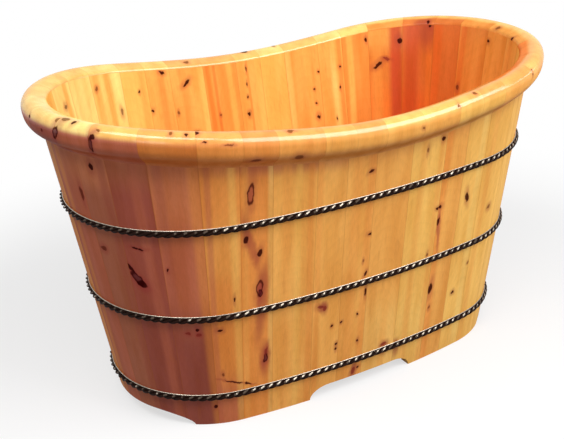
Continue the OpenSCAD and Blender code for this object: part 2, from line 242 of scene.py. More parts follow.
WOOD_LATE = srgb("#b05a1c")
KNOT_DARK = srgb("#380807")
KNOT_RED = srgb("#a03a30")
KNOT_PLUM = srgb("#5c1a1e")
# Scale of the noise that bends a knot's outline, and how far it bends it
KNOT_WARP_SCALE, KNOT_WARP = (90.0, 90.0, 55.0), (0.008, 0.0, 0.012)
# How far a knot runs through the wood
STAVE_REACH, RIM_REACH, PLUM_REACH, FLOOR_REACH = 0.009, 0.007, 0.016, 0.03
# What fills a knot and how much, where it is dark and how much. A stain is a halo alone.
KNOT_KINDS = {
    "dot": (KNOT_DARK, 0.0, "core", 0.95),
    "soft": (KNOT_DARK, 0.0, "core", 0.6),
    "rust": (KNOT_RED, 0.7, "core", 0.3),
    "plum": (KNOT_PLUM, 0.85, "ring", 0.7),
    "eye": (KNOT_RED, 0.6, "ring", 0.8),
}
TONES = {
    "p": "#fddc84",  # pale sapwood
    "y": "#f9cd74",  # light straw
    "s": "#f7bd60",  # straw
    "h": "#f3ac55",  # honey
    "a": "#f0a04c",  # amber
    "o": "#eb9243",  # golden orange
    "c": "#f18236",  # orange
    "f": "#dc8038",  # dull orange
    "e": "#d76f32",  # burnt orange
    "r": "#e5682a",  # red heartwood
    "d": "#c4482e",  # deep red
    "v": "#d57c50",  # light russet
    "u": "#c46849",  # russet
    "m": "#b06244",  # light brown
    "b": "#a9523f",  # brown
    "n": "#98493a",  # dark brown
}

# Seeds: a stave's is its number, and the other numbered boards count on from these
STRAY_SEED, RIM_SEED, FLOOR_SEED, FLOOR_KNOT_SEED = 100, 200, 300, 400
BATTEN_SEED, PIN_SEED = 310, 320
# Metres that one step of the seed moves a board through the noises
SEED_STEP = 1.37
# Where the pith may lie in metres: across the board, through it and along it
PITH_RANGES = ((-0.05, 0.05), (-0.16, -0.07), (-0.3, 0.9))
STREAK_WANDER = 0.012
PLAIN_COAT, POLISHED_COAT = 0.12, 0.6
COAT_ROUGHNESS, COAT_IOR = 0.15, 1.8
RING_STRENGTH, LINE_STRENGTH = 0.06, 0.14
# Half width of a joint's line, where it starts to show and where it is full
JOINT_EDGE, JOINT_CORE = 0.0011, 0.0003


def board_coords(origin, angle):
    """A board's own axes from the object's: X along the wall, Y outward, Z up."""

    def coords(t):
        rel = t.vmath("SUBTRACT", t.add("ShaderNodeTexCoord").outputs["Object"], origin)
        return t.add(
            "ShaderNodeVectorRotate",
            {"Vector": rel, "Angle": math.pi / 2 - angle},
            rotation_type="Z_AXIS",
        ).outputs[0]

    return coords


def crest_line(g, a0, a1):
    """Height of the crown at the middle of a board of the wall, and its slope along the board."""
    radius = RADII[g] + LEAN * RIM_LOW
    ends = [crown(on_arc(g, radius, a)[0]) for a in (a0, a1)]
    return sum(ends) / 2, (ends[0] - ends[1]) / (2 * radius * math.sin((a1 - a0) / 2))


def below_crown(t, x, z, line):
    """Height above the crown, less than nothing below it."""
    return t.math("SUBTRACT", z, t.math("ADD", line[0], t.math("MULTIPLY", x, line[1])))


def from_face(t, y, z):
    """Distance out from the wall's outer face, less than nothing inside it."""
    return t.math("SUBTRACT", y, t.math("MULTIPLY", z, LEAN))


def stave_layers(outer, line, patches, rim_shade):
    """Over the inner tone: the outer one from the middle of the wall outward, patches that grow
    from one height to another, and painted shade in russet below the rim, where its lip shades the
    wall."""

    def layers(t, x, y, z):
        depth = from_face(t, y, z)
        # Painted shade: russet below the rim, where its lip shades the wall
        under = t.ramp(below_crown(t, x, z, line), -0.104, -0.074)
        shade = t.math("MULTIPLY", under, t.ramp(depth, -0.010, -0.002, 0.0, rim_shade))
        patch = [(t.ramp(z, z0 / 1000, z1 / 1000, 0.0, k), tone) for z0, z1, tone, k in patches]
        return [(t.ramp(depth, -0.020, -0.006), outer), *patch, (shade, "u")]

    return layers


def rim_layers(face, line, inside):
    """Over a rim block's top tone: its face's, which is partly painted shade, painted shade in
    russet in the cove under the lip, and the tone of its inner half."""

    def layers(t, x, y, z):
        down = below_crown(t, x, z, line)
        depth = from_face(t, y, z)
        return [
            # The face's tone starts just below the highlight; round the head end it is partly
            # painted shade
            (t.ramp(down, -0.010, -0.021), face),
            # Painted shade: russet in the cove under the lip
            (t.ramp(down, -0.041, -0.053, 0.0, 0.35), "u"),
            # The inner half's deep orange at the foot end is partly painted shade
            *((t.ramp(depth, -0.005, -0.015, 0.0, 0.9), tone) for tone in inside),
        ]

    return layers


def rim_polish(line, inside):
    """The clear coat of a rim block, polished over its top, but less on the side towards the
    water where inside gives that side a tone."""

    def polish(t, x, y, z):
        coat = t.ramp(below_crown(t, x, z, line), -0.027, -0.014, PLAIN_COAT, POLISHED_COAT)
        if not inside:
            return coat
        return t.math("MULTIPLY", coat, t.ramp(from_face(t, y, z), -0.014, -0.002, 0.2))

    return polish


def wood_material(
    name,
    coords,
    tone,
    layers=None,
    knots=(),
    streaks=(),
    seed=0,
    arc=None,
    joint=0.3,
    gloss=0.30,
    polish=None,
):
    """Varnished softwood.

    layers gives the tones laid over the first one, and polish the weight of the clear coat.
    Knots are (x, y, z, half width, half height, tilt, kind, reach) and streaks (x, half width,
    tone, strength), in the board's axes. arc is the radius and half angle of a board of the
    wall, whose joints show as fine lines of strength joint. gloss is the roughness.
    """
    m, t = new_material(name)
    rnd = random.Random(seed)
    v = coords(t)
    grain = t.add("ShaderNodeGroup", node_tree=timber)
    t.link(v, grain.inputs["Vector"])
    grain.inputs["Pith"].default_value = [rnd.uniform(*limits) for limits in PITH_RANGES]
    grain.inputs["Seed"].default_value = seed * SEED_STEP
    x, y, z = (t.add("ShaderNodeSeparateXYZ", {0: v}).outputs[i] for i in range(3))
    colour = srgb(TONES[tone])
    for share, other in layers(t, x, y, z) if layers else ():
        colour = t.mix(share, colour, srgb(TONES[other]))
    for sx, half, other, strength in streaks:
        wander = t.math("SUBTRACT", grain.outputs["Slow"], 0.5)
        wander = t.math("MULTIPLY", wander, STREAK_WANDER)
        off = t.math("ADD", t.math("SUBTRACT", x, sx), wander)
        band = t.ramp(t.math("ABSOLUTE", off), half * 1.6, half * 0.4, 0.0, strength)
        colour = t.mix(band, colour, srgb(TONES[other]))
    broad = t.ramp(grain.outputs["Broad"], 0.30, 0.70)
    shade = t.mix(broad, (1.04, 1.07, 1.12), (0.93, 0.86, 0.76))
    colour = t.mix(1.0, colour, shade, "MULTIPLY")
    cloud = t.ramp(grain.outputs["Slow"], 0.35, 0.65)
    colour = t.mix(1.0, colour, t.mix(cloud, (1.03, 1.05, 1.06), (0.96, 0.93, 0.90)), "MULTIPLY")
    for mark, strength in (("Ring", RING_STRENGTH), ("Line", LINE_STRENGTH)):
        colour = t.mix(t.math("MULTIPLY", grain.outputs[mark], strength), colour, WOOD_LATE)
    fibre = t.ramp(grain.outputs["Fibre"], 0.3, 0.7, 0.95, 1.03)
    colour = t.mix(1.0, colour, t.grey(fibre), "MULTIPLY")
    coat = polish(t, x, y, z) if polish else PLAIN_COAT
    fibre_height = t.math("MULTIPLY", grain.outputs["Fibre"], 0.25)
    height = t.math("ADD", fibre_height, t.math("MULTIPLY", grain.outputs["Ring"], 0.3))
    if knots:
        warp = t.add(
            "ShaderNodeTexNoise",
            {"Vector": t.vmath("MULTIPLY", v, KNOT_WARP_SCALE), "Scale": 1.0, "Detail": 2.0},
        ).outputs["Color"]
        warp = t.vmath("MULTIPLY", t.vmath("SUBTRACT", warp, (0.5, 0.5, 0.5)), KNOT_WARP)
        warped = t.vmath("ADD", v, warp)
        marks = []
        for kx, ky, kz, w, h, tilt, kind, reach in knots:
            k = t.add("ShaderNodeGroup", node_tree=knot)
            t.link(warped, k.inputs["Vector"])
            k.inputs["Place"].default_value = (kx, ky, kz)
            k.inputs["Size"].default_value = (w, reach, h)
            k.inputs["Tilt"].default_value = math.radians(tilt)
            halo = t.math("MULTIPLY", k.outputs["Halo"], 0.6 if kind == "stain" else 0.45)
            colour = t.mix(halo, colour, KNOT_RED)
            if kind != "stain":
                marks.append((kind, k.outputs["Core"], k.outputs["Ring"]))
        for kind, core, ring in marks:
            filling, fill, dark, share = KNOT_KINDS[kind]
            colour = t.mix(t.math("MULTIPLY", core, fill), colour, filling)
            dark = ring if dark == "ring" else core
            colour = t.mix(t.math("MULTIPLY", dark, share), colour, KNOT_DARK)
            height = t.math("SUBTRACT", height, t.math("MULTIPLY", dark, 0.4))
            coat = t.math("MULTIPLY", coat, t.ramp(dark, 0.0, 0.6, 1.0, 0.1))
    if arc:
        radius, half = arc
        angle = t.math("ABSOLUTE", t.math("ARCTAN2", x, t.math("ADD", y, radius)))
        line = t.ramp(angle, half - JOINT_EDGE / radius, half - JOINT_CORE / radius, 0.0, joint)
        colour = t.mix(line, colour, WOOD_LATE)
        height = t.math("SUBTRACT", height, line)
    bump = t.add("ShaderNodeBump", {"Strength": 0.12, "Distance": 0.0006, "Height": height})
    shader = t.add(
        "ShaderNodeBsdfPrincipled",
        {
            "Base Color": colour,
            "Roughness": t.ramp(grain.outputs["Fibre"], 0.3, 0.7, gloss - 0.04, gloss + 0.06),
            "Specular IOR Level": 0.0,
            "Coat Weight": coat,
            "Coat Roughness": COAT_ROUGHNESS,
            "Coat IOR": COAT_IOR,
            "Normal": bump.outputs[0],
        },
    )
    t.link(shader.outputs[0], t.add("ShaderNodeOutputMaterial").inputs[0])
    return m


def paint(obj, material):
    obj.data.materials.clear()
    obj.data.materials.append(material)


def make_piece(name, verts, faces, body, replaces=()):
    mesh = bpy.data.meshes.new(name)
    mesh.from_pydata(verts, [], faces)
    mesh.validate()
    mesh.polygons.foreach_set("use_smooth", [True] * len(mesh.polygons))
    obj = bpy.data.objects.new(name, mesh)
    bpy.context.scene.collection.objects.link(obj)
    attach(obj, body)
    if replaces:
        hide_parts(*replaces)
    return obj


# Staves

# Tone of each stave's outer and inner face, arc by arc; the russet and brown outer faces round the
# head end are partly the wood's tone and partly painted shade
OUTER = "ssashohsha" "ahshahso" "hahaoumbvo" "ohhhhshs"
INNER = "yyshaoeefo" "hashahhs" "yppshahshs" "hsahshsa"

# Knots by stave: face (o outer, i inner), x, z, half width, half height in mm, tilt, kind
KNOTS = {
    5: [("i", -36, 657, 6, 4, 0, "dot")],
    6: [("i", -33, 528, 4, 6, 0, "soft")],
    8: [("i", 30, 676, 5, 6, 0, "dot"), ("i", 24, 660, 14, 22, 0, "stain")],
    9: [
        ("i", 37, 635, 8, 8, 0, "dot"),
        ("i", -21, 575, 15, 5, 35, "dot"),
        ("i", 2, 590, 10, 3, -10, "rust"),
    ],
    10: [("i", 30, 641, 3, 6, 0, "dot")],
    11: [
        ("i", 23, 580, 3, 3, 0, "dot"),
        ("i", 20, 528, 2, 5, 0, "dot"),
        ("i", 4, 451, 2, 4, 0, "dot"),
    ],
    12: [
        ("i", 43, 577, 3, 3, 0, "dot"),
        ("i", 27, 534, 3, 3, 0, "dot"),
        ("i", 29, 499, 3, 3, 0, "dot"),
        ("i", 31, 464, 5, 5, 0, "dot"),
    ],
    14: [
        ("i", -8, 615, 2, 6, 0, "dot"),
        ("i", -10, 579, 2, 4, 0, "dot"),
        ("i", -12, 546, 3, 3, 0, "dot"),
        ("i", -14, 506, 4, 5, 0, "dot"),
    ],
    15: [("i", -14, 518, 3, 3, 0, "soft")],
    16: [
        ("i", -5, 610, 12, 4, 35, "dot"),
        ("i", -37, 544, 3, 4, 0, "soft"),
        ("i", 1, 490, 8, 3, 0, "dot"),
    ],
    17: [("i", 12, 646, 8, 3.5, -35, "dot"), ("i", -28, 564, 4, 4, 0, "dot")],
    18: [("i", 9, 613, 3, 3, 0, "dot")],
    19: [("i", 28, 579, 4, 8, 0, "soft"), ("i", -29, 646, 5, 4, 0, "soft")],
    21: [("i", 8, 640, 7, 5, 0, "soft")],
    24: [("o", -35, 542, 5, 16, 0, "soft")],
    25: [("o", -1, 612, 6, 9, 0, "dot"), ("o", 21, 426, 8, 6, 0, "soft")],
    26: [
        ("o", 35, 396, 3.5, 24, -36, "dot"),
        ("o", 22, 371, 9, 20, -36, "plum"),
        ("o", 13, 359, 13, 7, 18, "dot"),
        ("o", 7, 443, 14, 2.5, 5, "dot"),
    ],
    27: [
        ("o", 10, 244, 6, 4, 0, "rust"),
        ("o", -11, 252, 4, 5, 0, "dot"),
        ("o", -13, 239, 6, 4, 0, "rust"),
        ("o", 33, 396, 2, 4, 0, "dot"),
        ("o", -31, 48, 4, 6, 20, "dot"),
    ],
    28: [
        ("o", 15, 246, 6, 4, 0, "dot"),
        ("o", -18, 316, 2, 7, 0, "dot"),
        ("o", 14, 132, 3, 5, 0, "soft"),
        ("o", -9, 108, 2, 21, -68, "dot"),
    ],
    29: [
        ("o", 12, 547, 7, 27, 5, "eye"),
        ("o", 23, 449, 6, 9, 0, "dot"),
        ("o", -5, 413, 5, 9, 10, "dot"),
        ("o", -5, 330, 7, 21, 8, "eye"),
        ("o", -17, 152, 6, 12, 8, "plum"),
        ("o", -19, 168, 3, 12, 8, "rust"),
        ("o", -15, 150, 7, 20, 0, "stain"),
        ("o", 23, 95, 2, 9, -68, "dot"),
        ("o", -7, 318, 5, 9, 0, "plum"),
        ("o", -10, 290, 7, 95, 6, "stain"),
        ("o", 14, 440, 6, 40, -14, "stain"),
    ],
    31: [
        ("o", 15, 245, 8, 5, 30, "rust"),
        ("o", 5, 238, 5, 7, 0, "rust"),
        ("o", 9, 242, 7, 5, 0, "stain"),
        ("o", -15, 186, 3, 3, 0, "dot"),
        ("o", -28, 135, 3, 4, 0, "dot"),
        ("o", -28, 121, 3, 4, 0, "dot"),
    ],
    32: [
        ("o", 28, 188, 3, 3, 0, "dot"),
        ("o", -12, 196, 3, 3, 0, "dot"),
        ("o", -19, 125, 3, 4, 0, "dot"),
        ("o", -17, 332, 2, 4, 0, "soft"),
        ("o", -25, 297, 3, 6, 20, "dot"),
        ("o", -30, 250, 3, 11, 0, "dot"),
        ("o", -12, 44, 5, 10, 20, "rust"),
        ("o", -12, 46, 5, 10, 0, "stain"),
        ("o", -25, 52, 4, 3, 0, "dot"),
        ("o", -22, 539, 8, 3, -20, "dot"),
        ("o", -33, 393, 9, 2.5, 0, "dot"),
    ],
    33: [("o", -14, 89, 9, 5, 0, "rust"), ("o", -16, 78, 7, 8, 0, "stain")],
    34: [
        ("o", 5, 552, 3, 6, 0, "soft"),
        ("o", -35, 569, 5, 6, 0, "dot"),
        ("o", -42, 404, 5, 3, 0, "dot"),
        ("o", -27, 292, 3, 5, 0, "soft"),
        ("o", 37, 80, 7, 5, 0, "rust"),
        ("o", 37, 62, 6, 10, 0, "stain"),
    ],
    35: [
        ("o", 30, 405, 8, 4, 0, "dot"),
        ("o", 27, 368, 3, 11, 0, "dot"),
        ("o", 23, 345, 3, 26, -5, "stain"),
        ("o", 25, 194, 6, 16, 8, "dot"),
        ("o", 21, 143, 3, 5, 0, "soft"),
    ],
    36: [
        ("o", 9, 405, 5, 12, -10, "dot"),
        ("o", 11, 158, 5, 4, 0, "dot"),
        ("o", -27, 224, 3, 3, 0, "soft"),
    ],
}

# Bands of another tone along a stave: x and half width in mm, tone, strength
STREAKS = {
    1: [(20, 9, "h", 0.6)],
    4: [(-14, 12, "o", 0.5)],
    6: [(-30, 8, "r", 0.5), (12, 9, "a", 0.4)],
    7: [(-24, 10, "r", 0.6)],
    8: [(-14, 18, "d", 0.55), (32, 8, "c", 0.6)],
    9: [(28, 16, "d", 0.85), (-22, 12, "a", 0.6)],
    10: [(27, 7, "o", 0.8), (-16, 8, "s", 0.7)],
    11: [(24, 5, "r", 0.4), (6, 7, "y", 0.6)],
    12: [(-39, 7, "y", 0.6), (12, 8, "h", 0.6)],
    13: [(-8, 8, "s", 0.7)],
    14: [(-5, 3, "c", 0.6), (24, 8, "s", 0.6)],
    15: [(-17, 4, "r", 0.5), (-34, 6, "c", 0.7), (26, 8, "s", 0.8)],
    16: [(36, 8, "s", 0.7), (-8, 12, "a", 0.6)],
    17: [(6, 9, "o", 0.7)],
    18: [(18, 8, "h", 0.8)],
    19: [(4, 7, "h", 0.9), (-26, 9, "h", 0.8), (24, 8, "p", 0.7)],
    21: [(24, 9, "h", 0.8)],
    24: [(22, 9, "o", 0.5)],
    25: [(-24, 10, "b", 0.5)],
    26: [(-14, 10, "u", 0.5)],
    27: [(-35, 12, "o", 0.5), (30, 9, "b", 0.4)],
    28: [(-22, 8, "s", 0.5), (26, 6, "u", 0.5)],
    29: [(-29, 6, "y", 0.5), (24, 6, "h", 0.4)],
    30: [(-36, 7, "o", 0.5), (18, 9, "a", 0.5), (-8, 7, "s", 0.5)],
    31: [(24, 6, "o", 0.4)],
    32: [(-24, 9, "o", 0.5), (8, 12, "a", 0.6)],
    33: [(-10, 9, "h", 0.6)],
    34: [(-36, 7, "a", 0.5), (14, 9, "h", 0.6)],
    35: [(22, 9, "c", 0.35)],
    36: [(-18, 9, "y", 0.6)],
}

# Strength of the painted shade below the rim, by stave, and on the rest
UNDER_RIM_SHADE = {28: 0.45, 29: 0.7, 30: 0.65, 31: 0.4}
PLAIN_UNDER_RIM_SHADE = 0.14

# Where a board's tone changes along it: from one height in mm to another, tone, strength
PATCHES = {
    8: [(540, 470, "r", 0.7)],
    9: [(590, 640, "h", 0.8), (560, 470, "c", 0.8)],
    # Painted light: the light russet at the top of staves 24 to 26 lifts the shadow under the rim;
    # 26 to 28 turn darker towards the bottom
    24: [(540, 600, "v", 0.7)],
    25: [(540, 600, "v", 0.9)],
    26: [(550, 640, "v", 0.7), (330, 220, "n", 0.5)],
    27: [(540, 420, "u", 0.8), (340, 200, "n", 0.95)],
    28: [(330, 400, "h", 0.4), (470, 520, "o", 0.8), (160, 50, "u", 0.8)],
    33: [(260, 140, "y", 0.4)],
    34: [(240, 120, "y", 0.3)],
}

# Staves whose outer and inner face the photograph doesn't show
UNSEEN_OUTER, UNSEEN_INNER = range(1, 21), range(24, 37)


def stray_knots(n, shows):
    """Scattered knots on the faces that the list leaves bare."""
    rnd = random.Random(STRAY_SEED + n)
    out = []
    for face, bare in shows.items():
        for _ in range(rnd.choice((0, 1, 1, 2)) if bare else 0):
            size = rnd.uniform(2.5, 7.0)
            z = rnd.uniform(110, 560)
            x, tall = rnd.uniform(-24, 24), size * rnd.uniform(0.8, 1.8)
            out.append((face, x, z, size, tall, 0, rnd.choice(("dot", "dot", "soft"))))
    return out


def knots_in_metres(rows):
    out = []
    for face, x, z, w, h, tilt, kind in rows:
        y = LEAN * z - (WALL_MM if face == "i" else 0)
        out.append((*metres(x, y, z, w, h), tilt, kind, STAVE_REACH))
    return out


for i, (g, a0, a1) in enumerate(STAVES):
    n = i + 1
    mid = (a0 + a1) / 2
    rim_shade = UNDER_RIM_SHADE.get(n, PLAIN_UNDER_RIM_SHADE)
    rows = KNOTS.get(n, []) + stray_knots(n, {"o": n in UNSEEN_OUTER, "i": n in UNSEEN_INNER})
    material = wood_material(
        f"stave_{n:02d}_wood",
        board_coords((*on_arc(g, RADII[g], mid), 0.0), mid),
        INNER[i],
        stave_layers(OUTER[i], crest_line(g, a0, a1), PATCHES.get(n, []), rim_shade),
        knots_in_metres(rows),
        [(*metres(x, w), tone, k) for x, w, tone, k in STREAKS.get(n, [])],
        n,
        (RADII[g], (a1 - a0) / 2),
    )
    paint(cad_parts[f"stave_{n:02d}"], material)


# Rim: the blocks of one arc in a single smooth sweep

RIM_NODES = ["rim_foot_end", "rim_back_side", "rim_head_end", "rim_front_side"]
# Tone of each block's top and outer face, arc by arc; round the head end the pale tops and dark
# faces are partly the wood's tone and partly painted light and painted shade
RIM_TOP = "ahhsssssyy" "ysyshhss" "ysssyypsha" "oahassha"
RIM_FACE = "hhsshshssh" "hshshshs" "hshoubuufo" "oahhhhss"
# Tone of the inner half of each block at the foot end, partly the wood's tone and partly painted
# shade
RIM_INSIDE = "cccaaoeeoy"

# Knots by block of the rim: x, out, z, half width and half height in mm, tilt, kind
RIM_KNOTS = {
    2: [(37, 120, 669, 3, 2, 0, "soft"), (38, 124, 658, 2, 3, 0, "soft")],
    4: [(-14, 75, 682, 5, 6, 0, "dot")],
    5: [(-19, 84, 690, 7, 4, 0, "soft")],
    8: [(24, 77, 685, 5, 6, 0, "dot"), (10, 78, 686, 14, 12, 0, "stain")],
    13: [(20, 100, 650, 4, 4, 0, "soft")],
    14: [(7, 98, 648, 9, 5, 0, "dot")],
    16: [(11, 85, 654, 7, 4, 0, "soft")],
    24: [
        (49, 125, 692, 4, 4, 0, "dot"),
        (-54, 126, 684, 8, 14, 20, "plum"),
        (-8, 129, 679, 5, 4, 0, "soft"),
        (-50, 114, 705, 8, 6, 0, "soft"),
    ],
    25: [
        (42, 127, 684, 8, 14, 20, "plum"),
        (28, 109, 707, 10, 6, 0, "soft"),
        (1, 115, 706, 5, 4, 0, "dot"),
        (-46, 125, 680, 5, 20, 8, "plum"),
        (-42, 112, 662, 7, 22, 0, "stain"),
    ],
    26: [
        (40, 127, 690, 6, 6, 0, "dot"),
        (46, 125, 672, 5, 19, 8, "plum"),
        (31, 122, 700, 5, 2, 0, "soft"),
    ],
    27: [(-35, 115, 692, 4, 3, 0, "dot"), (-7, 116, 695, 4, 3, 0, "soft")],
    28: [
        (40, 108, 692, 6, 4, 0, "dot"),
        (28, 125, 678, 4, 1.5, 0, "dot"),
        (-17, 126, 669, 9, 1.5, 0, "soft"),
    ],
    29: [(10, 113, 625, 12, 5, 0, "soft")],
    30: [(18, 107, 668, 9, 2, 0, "soft"), (5, 115, 616, 10, 7, 0, "soft")],
    33: [(-41, 120, 620, 4, 3, 0, "soft")],
    34: [(-44, 117, 645, 4, 3, 0, "soft")],
    35: [(34, 117, 645, 3, 3, 0, "soft"), (-21, 107, 657, 4, 3, 0, "soft")],
}

# Steps round the section's inner edge, the top and nose, under the nose and down the cove
EDGE_STEPS, NOSE_STEPS, UNDER_STEPS, COVE_STEPS = 6, 18, 8, 7
UNDER_ANGLE = math.pi / 3
# Steps along a block, at an end and at a side, and the space left at each end of a sweep
END_STEPS, SIDE_STEPS, SWEEP_GAP = 8, 5, 0.00005
SHARP_ANGLE = math.radians(45)
NOSE_X, EDGE_X = LIP_OUT - NOSE_R, EDGE_R - WALL
EDGE_Z = (
    NOSE_R - EDGE_R - math.cos(TOP_SLOPE) * NOSE_R - math.sin(TOP_SLOPE) * (NOSE_X - EDGE_X)
) / math.cos(TOP_SLOPE)


def rim_section():
    """(out, down) from the wall's face and the crown, clockwise from the inner edge."""
    pts = []
    for k in range(EDGE_STEPS + 1):
        a = math.pi - k * (math.pi / 2 - TOP_SLOPE) / EDGE_STEPS
        pts.append((EDGE_X + EDGE_R * math.cos(a), EDGE_Z + EDGE_R * math.sin(a)))
    for k in range(NOSE_STEPS + 1):
        a = (math.pi / 2 + TOP_SLOPE) * (1 - k / NOSE_STEPS)
        pts.append((NOSE_X + NOSE_R * math.cos(a), NOSE_R * (math.sin(a) - 1)))
    for k in range(UNDER_STEPS + 1):
        a = -UNDER_ANGLE * k / UNDER_STEPS
        pts.append((NOSE_X + NOSE_R * math.cos(a), NOSE_R * (math.sin(a) - 1) - LIP_FLANK))
    start, end = pts[-1], (RIM_GAP, -LIP_DEPTH)
    bend = (RIM_GAP, start[1] - (start[0] - RIM_GAP) / math.tan(UNDER_ANGLE))
    for k in range(1, COVE_STEPS + 1):
        f = k / COVE_STEPS
        mix = ((1 - f) ** 2, 2 * f * (1 - f), f * f)
        pts.append(tuple(mix[0] * a + mix[1] * b + mix[2] * c for a, b, c in zip(start, bend, end)))
    pts.append((RIM_GAP, EDGE_Z))
    return pts


def rim_point(g, angle, out, down):
    """The section's point (out, down) on the rim. Its place and its height depend on each
    other, and two rounds settle them."""
    x = on_arc(g, RADII[g] + LEAN * (RIM_LOW + down) + out, angle)[0]
    for _ in range(2):
        z = crown(x) + down
        x, y = on_arc(g, RADII[g] + LEAN * z + out, angle)
    return (x, y, crown(x) + down)


def make_rim(g):
    """One arc's sweep, and the block that each of its faces belongs to."""
    section = rim_section()
    angles = joint_angles(g)
    steps = END_STEPS if g % 2 == 0 else SIDE_STEPS
    verts, faces, owners = [], [], []
    stations = [
        a + (b - a) * k / steps for a, b in zip(angles, angles[1:]) for k in range(steps)
    ] + [angles[-1]]
    gap = SWEEP_GAP / RADII[g]
    stations[0] += gap
    stations[-1] -= gap
    for a in stations:
        verts += [rim_point(g, a, *s) for s in section]
    n = len(section)
    for k in range(len(stations) - 1):
        for m in range(n):
            m2 = (m + 1) % n
            faces.append((k * n + m, k * n + m2, (k + 1) * n + m2, (k + 1) * n + m))
            owners.append(k // steps)
    last = (len(stations) - 1) * n
    faces += [tuple(range(n))[::-1], tuple(range(last, last + n))]
    owners += [0, len(angles) - 2]
    piece = make_piece(RIM_NODES[g] + "_lip", verts, faces, "tub", [RIM_NODES[g]])
    piece.data.set_sharp_from_angle(angle=SHARP_ANGLE)
    return piece, owners


for g in range(4):
    piece, owners = make_rim(g)
    first = sum(len(MIXES[q]) for q in range(g))
    angles = joint_angles(g)
    for j in range(len(MIXES[g])):
        mid = (angles[j] + angles[j + 1]) / 2
        n = first + j + 1
        line = crest_line(g, angles[j], angles[j + 1])
        inside = RIM_INSIDE[n - 1 : n]
        material = wood_material(
            f"rim_{n:02d}_wood",
            board_coords((*on_arc(g, RADII[g], mid), 0.0), mid),
            RIM_TOP[n - 1],
            rim_layers(RIM_FACE[n - 1], line, inside),
            [
                (*metres(*place_and_size), tilt, kind, PLUM_REACH if kind == "plum" else RIM_REACH)
                for *place_and_size, tilt, kind in RIM_KNOTS.get(n, [])
            ],
            seed=RIM_SEED + n,
            arc=(RADII[g], (angles[j + 1] - angles[j]) / 2),
            joint=0.2,
            gloss=0.22,
            polish=rim_polish(line, inside),
        )
        piece.data.materials.append(material)
    piece.data.polygons.foreach_set("material_index", owners)


# Floor boards, battens and pins


def lying(across, along):
    """Axes of a board that lies flat, X across it, Y up and Z along it, from the numbers of the
    object's axes that run across and along it."""

    def coords(t):
        s = t.add("ShaderNodeSeparateXYZ", {0: t.add("ShaderNodeTexCoord").outputs["Object"]})
        parts = {0: s.outputs[across], 1: s.outputs[2], 2: s.outputs[along]}
        return t.add("ShaderNodeCombineXYZ", parts).outputs[0]

    return coords


along_x, along_y = lying(1, 0), lying(0, 1)
KNOTS_A_BOARD = 3


def floor_knots(n):
    """Scattered knots through a floor board, in its own axes."""
    rnd = random.Random(FLOOR_KNOT_SEED + n)
    low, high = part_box(f"floor_board_{n}")
    out = []
    for _ in range(KNOTS_A_BOARD):
        size = rnd.uniform(0.003, 0.006)
        across = rnd.uniform(low[1] + 0.02, high[1] - 0.02)
        along = rnd.uniform(low[0] + 0.10, high[0] - 0.10)
        place = (across, (low[2] + high[2]) / 2, along)
        out.append((*place, size, size * 1.6, 0, rnd.choice(("dot", "soft")), FLOOR_REACH))
    return out


for n, tone in enumerate("hshsh", 1):
    material = wood_material(
        f"floor_{n}_wood", along_x, tone, knots=floor_knots(n), seed=FLOOR_SEED + n
    )
    paint(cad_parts[f"floor_board_{n}"], material)
material = wood_material("batten_wood", along_y, "s", seed=BATTEN_SEED, gloss=0.4)
paint(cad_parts["battens"], material)
for name in ("stave_pins", "floor_pins"):
    material = wood_material(name + "_wood", along_y, "s", seed=PIN_SEED, gloss=0.5)
    paint(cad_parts[name], material)


# Metal and rubber

SPOT_SCALE = 400.0


def metal(name, colour, rough, metallic=1.0, specular=0.5, blotch=0.5):
    """Metal or rubber whose colour falls to the share blotch of itself in fine spots."""
    m, t = new_material(name)
    v = t.add("ShaderNodeTexCoord").outputs["Object"]
    n = t.noise(v, SPOT_SCALE, 3.0)
    shade = t.mix(t.ramp(n, 0.35, 0.65), colour, tuple(c * blotch for c in colour[:3]))
    s = t.add(
        "ShaderNodeBsdfPrincipled",
        {
            "Base Color": shade,
            "Metallic": metallic,
            "Roughness": t.ramp(n, 0.3, 0.7, rough, rough + 0.1),
            "Specular IOR Level": specular,
        },
    )
    t.link(s.outputs[0], t.add("ShaderNodeOutputMaterial").inputs[0])
    return m


rope_look = metal("rope_look", srgb("#24140e"), 0.5, 0.0, 0.05)
# Pale looks for the hoops' crests: partly wear and partly painted highlight
dull_highlight_look = metal("dull_highlight_look", srgb("#55473b"), 0.4, 0.0, 0.2)
worn_highlight_look = metal("worn_highlight_look", srgb("#d6cab8"), 0.3, 0.4)
# The wire's pale metal gives the hoops' top edge its painted highlight
wire_highlight_look = metal("wire_highlight_look", srgb("#d6cab8"), 0.25)
chrome = metal("chrome_look", srgb("#dcdee0"), 0.10, blotch=0.93)
rubber = metal("rubber_look", srgb("#202022"), 0.6, 0.0, blotch=0.8)
for n in ("waste_body", "waste_nut", "plug_guide", "plug_cap", "batten_screws"):
    paint(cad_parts[n], chrome)
for n in ("waste_gasket_top", "waste_gasket_bottom", "plug_seal"):
    paint(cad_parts[n], rubber)


# Hoops: three strands wound into one rod, black, with pale patches on the crests that face up and
# out, partly wear and partly painted highlight, fewer and duller round the head end as painted
# shade, and a pale wire along the top, partly painted highlight

STRANDS, STRAND_R = 3, 0.00325
STRAND_OFF = HOOP_D / 2 - STRAND_R
# Length of a strand's turn, rings of points in a turn, and points in a ring
TURN, TURN_RINGS, SIDES = 0.057, 28, 12
# The wire's radius, height above the hoop's middle, points in a ring, and strand rings to a ring
WIRE_R, WIRE_UP, WIRE_SIDES, WIRE_STEP = 0.0011, 0.0068, 8, 4
# Angle above level at which a strand stands out most and its painted highlight sits, and how much
# the patches of a turn vary
HIGHLIGHT_AT, CREST_JITTER = math.radians(35), 0.06
